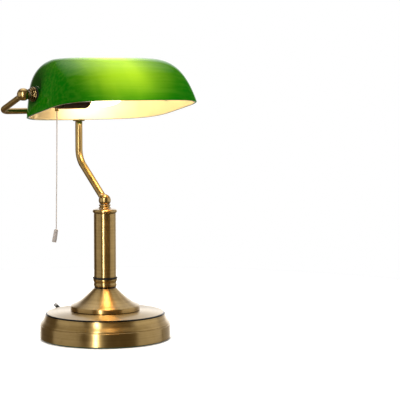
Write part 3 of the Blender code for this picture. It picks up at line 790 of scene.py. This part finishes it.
def make_stand():
    waist = curve([(15.9, 67.7), (19.1, 64.4), (24.9, 59.0), (31.2, 53.7), (37.6, 49.4), (43.0, 46.7)])
    flare = [(14.8, 68.6), *waist, (45.8, 45.4), (46.9, 44.6), (46.9, 39.0), (42.5, 39.0), (41.5, 44.2),
             (26.0, 55.4), (14.0, 65.2), (ROD_HOLE, 66.2), (ROD_HOLE, 68.6)]
    turned("flare", "base_flare", TURNED, "root", "brass", flare, steps=160, rounding=0.5)

    cove = curve([(15.4, 74.7), (15.75, 73.1), (15.5, 71.6)], 5)
    crown = curve([(16.3, 80.4), (16.35, 79.7), (16.0, 78.6), (15.3, 77.2), (15.0, 76.3)], 5)
    collar = [(ROD_HOLE, 81.1), (15.7, 81.1), *crown, (14.9, 75.5), *cove, (14.8, 70.4), (14.8, 69.1),
              (ROD_HOLE, 69.1)]
    turned("collar_turned", "lower_collar", COLLAR_BRASS, "root", "brass", collar)
    turned("collar_seal", "collar_gasket", RUBBER, "root", "rubber", ring(16.8, ROD_HOLE, 81.4, 83.0),
           rounding=0.5)

    column = [(15.0, 169.8), (15.0, 140.0), (15.0, 111.0), (15.0, 83.3), (13.5, 83.3), (13.5, 169.8)]
    turned("column", "column_tube", TURNED, "root", "brass", column)
    lip = arc((14.2, 172.7), 2.4, 62, -62, 12)
    cap = [(ROD_HOLE, 175.3), (13.9, 175.3), *lip, (15.0, 170.1), (13.2, 170.1), (13.2, 165.0),
           (11.5, 165.0), (11.5, 172.2), (ROD_HOLE, 172.2)]
    turned("column_lid", "column_cap", TURNED, "root", "brass", cap)
    groove = curve([(7.2, 179.4), (6.95, 178.8), (7.2, 178.2)], 4)
    cup = [(6.2, 181.9), (8.0, 181.6), (8.0, 180.2), *groove, (8.4, 177.4), (8.4, 176.0),
           (ROD_HOLE, 175.6), (ROD_HOLE, 180.2)]
    turned("neck_rings", "neck_cup", TURNED, "root", "brass", cup)


# Arm and yoke


def ball(radius, steps, low_cut=None):
    """A ball's outline. With low_cut, it ends in a flat that far below its centre."""
    end = -90 if low_cut is None else -math.degrees(math.asin(low_cut / radius))
    points = arc((0, 0), radius, 90, end, steps)
    points[0] = (0, radius)
    if low_cut is None:
        points[-1] = (0, -radius)
    else:
        points.append((0, points[-1][1]))
    return points


def set_screw(name, at, axis, node_name):
    """A socket set screw with a chamfered top."""
    screw = lathe(name, [(0, 2.4), (1.6, 2.4), (1.9, 2.1), (1.9, 0.0), (0, 0.0)], at, axis, 48, 0.1)
    combine(screw, [(cutter(0.95, 1.0, 5.0, at, axis, 6), "DIFFERENCE")])
    finish(screw, BRIGHT_STEEL, "arm", "steel", node_name)


def make_arm():
    knee = Vector((0, ARM_BACK, 241.0))
    lean = (knee - ARM_BALL).normalized()
    joint = lathe("arm_knuckle", ball(BALL_R, 28, 5.0), ARM_BALL, rounding=0.3)
    drilled(joint, [(ARM_SOCKET, 4.8, 12, ARM_BALL, lean), (NIPPLE_HOLE, -9, -1.5, ARM_BALL, UP)])
    finish(joint, BALL_BRASS, "arm", "brass", "arm_ball")
    path = bent_path([ARM_BALL + lean * 5.3, knee, Vector((0, ARM_BACK, 292.1))], [29.0])
    finish(tube("arm_pipe", eased(path), ARM_R, 3.9, 64), DRAWN, "arm", "brass", "arm_tube")
    flange = [(3.2, 294.2), (7.7, 294.2), (8.3, 293.6), (8.3, 292.9), (7.8, 292.4), (3.2, 292.4)]
    turned("arm_ring", "arm_flange", TURNED, "arm", "brass", flange, (0, ARM_BACK, 0), rounding=0.3)

    hub = [*ball(HUB_R, 24, 5.1)[:-1], (5.5, -6.0), (5.5, -12.9), (0, -12.9)]
    hub = lathe("yoke_knuckle", hub, HUB, rounding=0.4)
    drilled(hub, [(YOKE_SOCKET, 4.3, 12, HUB, LEFT), (YOKE_SOCKET, 4.3, 12, HUB, RIGHT),
                  (SCREW_HOLE, 4.4, 12, HUB, BACK)])
    finish(hub, BALL_BRASS, "arm", "brass", "yoke_hub")
    set_screw("set_screw_hub", HUB + Vector((0, 4.7, 0)), BACK, "grub_screw_hub")

    for name, side in (("left", -1), ("right", 1)):
        end = PIVOT + Vector((side * PIVOT_X, 0, 0))
        corner = Vector((side * PIVOT_X, ARM_BACK, HUB.z))
        leg = (corner - end).normalized()
        path = bent_path([HUB + Vector((side * 4.9, 0, 0)), corner, end + leg * 5.3], [12.0])
        pipe = tube("yoke_pipe_" + name, eased(path), YOKE_R, 2.9, 56)
        finish(pipe, DRAWN, "arm", "brass", "yoke_tube_" + name)
        knob = lathe("end_knob_" + name, ball(BALL_R, 32), end, rounding=0.0)
        drilled(knob, [(YOKE_SOCKET, 4.8, 12, end, leg), (5.0, 4.0, 12, end, (-side, 0, 0)),
                       (SCREW_HOLE, 5.2, 12, end, DOWN)])
        finish(knob, BALL_BRASS, "arm", "brass", "end_ball_" + name)
        set_screw("set_screw_" + name, end - Vector((0, 0, 5.5)), DOWN, "grub_screw_" + name)


# Shade

SHADE_TILT = math.radians(12.65)
HOLE_BACK, HOLE_UP = 19.1, 26.4  # the pivot's place in the shade
TOP_HALF, SHOULDER, RIM_DEPTH_HALF, SHADE_HIGH = 73.2, 39.3, 65.0, 71.7
CREST_BACK = 17.0  # how far the ridge along the top stands behind the rim's middle
CASING, WALL = 2.5, 4.0  # the green layer; the opal one fills the rest of the wall
SEAT_R, SHADE_HOLE = 10.6, 5.6


def section_ring(share, count):
    """Points of the shade's plan outline at this share of its height, evenly spaced along it."""
    long_half = TOP_HALF + SHOULDER * (1 - share ** 1.1) ** 0.46
    short_half = RIM_DEPTH_HALF * math.sqrt(max(0.0, 1 - share ** 4.8))
    power = 2 / (4.4 - 0.7 * share)
    angle = np.linspace(0, 2 * math.pi, count * 12 + 1)
    c, s = np.cos(angle), np.sin(angle)
    x = np.copysign(np.abs(c) ** power, c) * long_half
    y = np.copysign(np.abs(s) ** power, s) * short_half + CREST_BACK * share ** 2
    along = np.concatenate([[0], np.cumsum(np.hypot(np.diff(x), np.diff(y)))])
    wanted = np.arange(count) / count * along[-1]
    return np.stack([np.interp(wanted, along, x), np.interp(wanted, along, y),
                     np.full(count, SHADE_HIGH * share)], axis=1)


def shade_grids(depths, count=240, rings=56):
    """The shade's outer surface and copies of it this far inside, as grids of points about the pivot."""
    shares = 1 - (1 - np.arange(rings + 1) / rings) ** 2
    grid = np.stack([section_ring(s, count) for s in shares])
    grid[-1, :, 1] = CREST_BACK
    around = np.roll(grid, -1, 1) - np.roll(grid, 1, 1)
    upward = np.gradient(grid, axis=0)
    normal = np.cross(around, upward)
    normal[-1] = (0, 0, 1)
    normal /= np.maximum(np.linalg.norm(normal, axis=2, keepdims=True), 1e-9)
    grids = []
    for depth in depths:
        inner = grid - normal * depth
        inner[0, :, 2] = 0.0
        grids.append(inner - np.array([0, HOLE_BACK, HOLE_UP]))
    return grids


def shade_layer(name, outer, inner, lip):
    """A closed layer of the shade between two grids, with its rim rounded by lip."""
    rows = [*outer[::-1]]
    rows[-1] = outer[0] * 0.25 + outer[1] * 0.75
    for share in (0.0, 0.3, 0.7, 1.0):
        edge = outer[0] * (1 - share) + inner[0] * share
        drop = lip * (abs(share - 0.5) * 2) ** 2
        rows.append(edge + np.array([0, 0, drop]))
    rows.append(inner[0] * 0.25 + inner[1] * 0.75)
    rows += [*inner[1:]]
    count = outer.shape[1]
    rings = [range(k * count, (k + 1) * count) for k in range(len(rows))]
    data = mesh_of(name, np.concatenate(rows) * MM, ring_faces(rings, False, count), merge=True)
    obj = new_object(name, data, PIVOT)
    obj.rotation_euler = (-SHADE_TILT, 0, 0)
    bpy.context.view_layer.update()
    return obj


def to_frame(obj):
    """Moves a piece's place into its mesh, so that its box is as tight as its shape."""
    bpy.context.view_layer.update()
    obj.data.transform(obj.matrix_world)
    obj.matrix_world = Matrix.Identity(4)


def make_shade():
    outer, between_out, between_in, inner = shade_grids((0.0, CASING, CASING + 0.02, WALL))
    shell = shade_layer("shade_green", outer, between_out, 0.5)
    lining = shade_layer("shade_opal", between_in, inner, 0.3)
    for layer, low, high in ((shell, 104.0, 106.0), (lining, 101.5, 103.9)):
        tools = []
        for axis in (LEFT, RIGHT):
            # A flat seat for the washers, with room on both sides of it, then the hole through it.
            tools += [(cutter(SEAT_R, low, high, PIVOT, axis, 72), "UNION"),
                      (cutter(SEAT_R, high, high + 12, PIVOT, axis, 72), "DIFFERENCE"),
                      (cutter(SEAT_R, low - 12, low, PIVOT, axis, 72), "DIFFERENCE"),
                      (cutter(SHADE_HOLE, 90, 120, PIVOT, axis), "DIFFERENCE")]
        combine(layer, tools)
        to_frame(layer)
    finish(shell, GLASS, "shade", "green_glass", "shade_glass")
    finish(lining, OPAL, "shade", "green_glass", "shade_glass")
    return shell, lining


def hex_nut(name, across, low, high, axis, node_name):
    """A hexagon nut with chamfered corners, round the pivot."""
    face, corner = across / 2 * 0.96, across * 0.577
    blank = [(face, high), (corner, high - 0.9), (corner, low + 0.9), (face, low), (NIPPLE_HOLE, low),
             (NIPPLE_HOLE, high)]
    blank = lathe(name, blank, PIVOT, axis, 96, 0.05)
    hexagon = cutter(across / math.sqrt(3), low - 2, high + 2, PIVOT, axis, 6)
    combine(blank, [(hexagon, "INTERSECT")])
    finish(blank, BRIGHT_STEEL, "arm", "steel", node_name)


def make_end_fittings():
    nut = [(NIPPLE_HOLE, 115.0), (6.5, 115.0), *curve([(7.1, 114.8), (7.4, 114.1), (7.0, 113.4)], 3),
           (6.2, 113.2), (6.2, 112.8), *curve([(8.1, 112.6), (8.7, 111.8), (8.3, 111.0)], 3),
           (7.4, 110.8), (7.4, 110.4), *curve([(9.4, 110.2), (9.9, 109.3), (9.6, 108.1)], 3),
           (NIPPLE_HOLE, 107.9)]
    for name, axis in (("left", LEFT), ("right", RIGHT)):
        turned("clamp_knob_" + name, "clamp_nut_" + name, SHADED_BRASS, "arm", "brass", nut, PIVOT, axis,
               96, 0.2)
        for place, radius, low, high in (("outer", 10.2, 106.3, 107.6), ("inner", 9.8, 100.0, 101.2)):
            turned(f"seal_{place}_{name}", f"{place}_washer_{name}", RUBBER, "shade", "rubber",
                   ring(radius, ROD_HOLE, low, high), PIVOT, axis, 96, 0.4)
        hex_nut("hex_nut_" + name, 15.0, 96.1, 99.7, axis, "lock_nut_" + name)
    dome = [(NIPPLE_HOLE, 95.8), (8.2, 95.8), (8.2, 92.0), *arc((0, 92.0), 8.2, 0, -90, 14)[1:-1],
            (0, 83.8), (0, 89.5), (NIPPLE_HOLE, 89.5)]
    turned("dome_nut", "cap_nut_right", TURNED, "arm", "brass", dome, PIVOT, RIGHT, 96, 0.3)


# Lamp holder and bulb


SPOUT_X = -72.5
HOLDER_FLUTES = (41.3, 66.6, 19.0, 36, 0.45)


def make_holder():
    shoulder = curve([(9.0, 92.6), (12.2, 91.6), (15.6, 89.4), (17.6, 86.2), (18.0, 83.0)], 6)
    cap = [(5.2, 95.8), (9.0, 95.8), *shoulder, (18.0, 80.0), (18.0, 69.3), (15.6, 69.3), (15.6, 83.6),
           (12.0, 88.0), (5.2, 88.0)]
    cap = lathe("holder_back", cap, PIVOT, LEFT, 160, 0.35)
    spout_at = PIVOT + Vector((SPOUT_X, 0, 0))
    drilled(cap, [(2.0, 12, 22, spout_at, DOWN)])
    finish(cap, BAKELITE, "arm", "bakelite", "holder_cap")

    ribs = [(19.5, 67.4 - 0.9 * i) for i in range(30)]
    body = [(18.7, 69.0), (19.5, 68.2), *ribs, (19.5, 40.8), (19.5, 33.6), (18.9, 33.1), (18.9, 32.5),
            (19.5, 32.0), (19.5, 29.2), (18.2, 27.5), (16.2, 27.5), (15.0, 28.6), (15.0, 66.4),
            (17.0, 67.0), (17.0, 69.0)]
    turned("holder_front", "holder_body", BAKELITE, "arm", "bakelite", body, PIVOT, LEFT, 288, 0.3,
           HOLDER_FLUTES)
    spout = [(2.3, 22.3), (2.7, 21.6), *curve([(2.2, 20.6), (2.1, 19.9), (2.4, 19.3)], 3), (2.9, 19.0),
             (2.9, 18.3), (1.7, 18.3), (1.7, 16.6), (0.95, 16.6), (0.95, 21.4), (1.6, 22.3)]
    turned("spout", "pull_spout", TURNED, "arm", "brass", spout, spout_at, DOWN, 64, 0.2)


def make_bulb():
    outline = curve([(11.6, 31.5), (12.0, 27.0), (15.2, 14.0), (17.3, 1.0), (17.2, -6.0), (14.8, -18.0),
                     (10.8, -27.5), (5.4, -36.0), (2.0, -39.4), (0, -40.2)], 5)
    inner = curve([(0, -38.6), (4.4, -34.6), (9.8, -26.8), (13.8, -17.6), (16.2, -6.0), (16.3, 1.0),
                   (14.2, 14.0), (10.9, 27.0), (10.5, 31.5)], 5)
    outline = [(max(0.0, r), z) for r, z in outline]
    glass = lathe("bulb_envelope", outline + inner, PIVOT, LEFT, 96, 0.2)
    glass.visible_shadow = False
    finish(glass, BULB, "arm", "bulb_glass", "bulb_glass")


make_base()
make_stand()
make_arm()
shell, lining = make_shade()
make_end_fittings()
make_holder()
make_bulb()

# CAD solids that keep their shape and get a finish.
KEPT = ((IRON, ["base_weight"]),
        (STEEL, ["base_plate", "base_washer", "base_nut", "threaded_rod", "nipple_left", "nipple_right",
                 "bulb_screw_cap"]),
        (WIRE, ["base_wire", "arm_wire"]),
        (CERAMIC, ["holder_insert"]),
        (INNER_BRASS, ["screw_shell", "centre_contact", "pull_lever"]),
        (BAKELITE_INNER, ["switch_block"]))
for material, names in KEPT:
    for name in names:
        for slot in frame["nodes"][name].material_slots:
            slot.material = material


# Floor, light and surroundings


FLOOR_R, FLOOR_DROP = 0.75, 0.0002


def make_floor():
    """A round pale table top that casts no light, shadow or reflection on the lamp."""
    mesh = bmesh.new()
    bmesh.ops.create_circle(mesh, cap_ends=True, segments=128, radius=FLOOR_R)
    data = bpy.data.meshes.new("floor")
    mesh.to_mesh(data)
    mesh.free()
    floor = new_object("floor", data)
    floor.location = (0, 0, -FLOOR_DROP)
    material, shader, place = new_material("floor_pale", "object")
    pale = mix_color(noise(place, 6.0, 3.0), (0.93, 0.93, 0.925), (0.96, 0.96, 0.955))
    surface(shader, pale, 0.8, {"Specular IOR Level": 0.1})
    data.materials.append(material)
    floor.visible_glossy = False
    floor.visible_shadow = False
    floor.visible_diffuse = False
    return floor


def new_light(name, kind, energy, color):
    data = bpy.data.lights.new(name, kind)
    data.energy = energy
    data.color = color
    light = bpy.data.objects.new(name, data)
    scene.collection.objects.link(light)
    light.visible_camera = False
    return light


def softbox(name, azimuth, elevation, distance, size, radiance, color=(1, 1, 1), aim=(0, 0, 0.15),
            spread=math.pi):
    """A rectangular light of this radiance, azimuth 0 in front of the lamp and 90 to its right."""
    light = new_light(name, "AREA", radiance * math.pi * size[0] * size[1], color)
    light.data.shape = "RECTANGLE"
    light.data.size, light.data.size_y = size
    light.data.spread = spread
    a, e = math.radians(azimuth), math.radians(elevation)
    out = Vector((math.sin(a) * math.cos(e), -math.cos(a) * math.cos(e), math.sin(e)))
    light.location = Vector(aim) + out * distance
    light.rotation_euler = (-out).to_track_quat("-Z", "Y").to_euler()
    return light


def lamp_light(name, power, radius, color, offset=(2.0, 0.0, 0.0)):
    """A light that stands in for the bulb's, this far from the pivot in millimetres."""
    light = new_light(name, "POINT", power, color)
    light.data.shadow_soft_size = radius
    light.location = (PIVOT + Vector(offset)) * MM
    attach(light, "arm")
    return light


def collection_of(name, objects):
    group = bpy.data.collections.new(name)
    for obj in objects:
        group.objects.link(obj)
    return group


def named(*names):
    return [bpy.data.objects[name] for name in names]


def make_lights(floor):
    # Name, azimuth, elevation, distance, size, radiance. These panels spare the shade.
    panels = [softbox("strip_left", -50.3, 12.0, 1.25, (0.10, 2.0), 27.0, (1.0, 0.985, 0.95)),
              softbox("panel_right", 52.0, 8.0, 1.3, (1.52, 1.4), 0.98),
              softbox("panel_right_rear", 104.0, 14.0, 1.3, (1.0, 1.4), 0.62),
              softbox("panel_far_left", -106.0, 8.0, 1.3, (1.5, 1.4), 0.8)]
    softbox("overhead", 146.0, 72.0, 1.2, (1.8, 1.6), 0.52, spread=math.radians(85))
    spared = collection_of("panels_spare", [shell, lining])
    for member in spared.collection_objects:
        member.light_linking.link_state = "EXCLUDE"
    for light in panels:
        light.light_linking.receiver_collection = spared
    above = softbox("floor_wash", 0.0, 90.0, 1.6, (1.6, 1.6), 4.2, aim=(0, 0, 0))
    above.light_linking.receiver_collection = collection_of("floor_only", [floor])

    # Name, power, radius, colour and place. Where a light has a receiver, it lights only that.
    lamp_light("lamp", 0.07, 0.012, (1.0, 0.75, 0.36))
    stand = collection_of("glint_on_turned", named("base_shell", "flare", "collar_turned", "column",
                                                   "column_lid", "neck_rings"))
    bent = collection_of("glint_on_arm", named("arm_knuckle", "arm_pipe"))
    for name, power, radius, color, group in (("glint_wide", 1.8, 0.055, (1.0, 0.50, 0.17), stand),
                                              ("glint_core", 1.4, 0.012, (1.0, 0.84, 0.60), stand),
                                              ("glint_arm", 0.45, 0.012, (1.0, 0.84, 0.58), bent)):
        glint = lamp_light(name, power, radius, color, (7.0, -22.0, -6.0))
        glint.light_linking.receiver_collection = group
    glow = lamp_light("glow", 0.60, 0.030, (1.0, 0.94, 0.8), (-15.0, -17.0, -11.0))
    glow.light_linking.receiver_collection = collection_of("glow_on", [shell])
    holder = named("holder_back", "holder_front")
    glow.light_linking.blocker_collection = collection_of("glow_stops", holder)


BACKDROP = HEADING - 0.06  # where the middle of the bright backdrop is


def make_world():
    """White where the camera sees it; for reflections dim, with a bright backdrop behind the lamp."""
    world = bpy.data.worlds.new("studio")
    world.use_nodes = True
    scene.world = world
    tree = world.node_tree
    tree.nodes.clear()
    towards = node(tree, "TexCoord").outputs["Generated"]
    back = (math.sin(BACKDROP), math.cos(BACKDROP), 0.10)
    facing = vector_node("DOT_PRODUCT", towards, back)
    level = remap(facing, 0.84, 0.97, 0.18, 1.6)
    seen = node(tree, "Background", {"Color": (1, 1, 1, 1), "Strength": 1.0})
    tint = mix_color(remap(level, 0.3, 1.0), (1.0, 0.76, 0.46), (1.0, 1.0, 1.0))
    around = node(tree, "Background", {"Color": tint, "Strength": level})
    path = node(tree, "LightPath")
    both = node(tree, "MixShader", {0: path.outputs["Is Camera Ray"], 1: around.outputs["Background"],
                                    2: seen.outputs["Background"]})
    out = node(tree, "OutputWorld")
    feed(out.inputs["Surface"], both.outputs["Shader"])


make_lights(make_floor())
make_world()
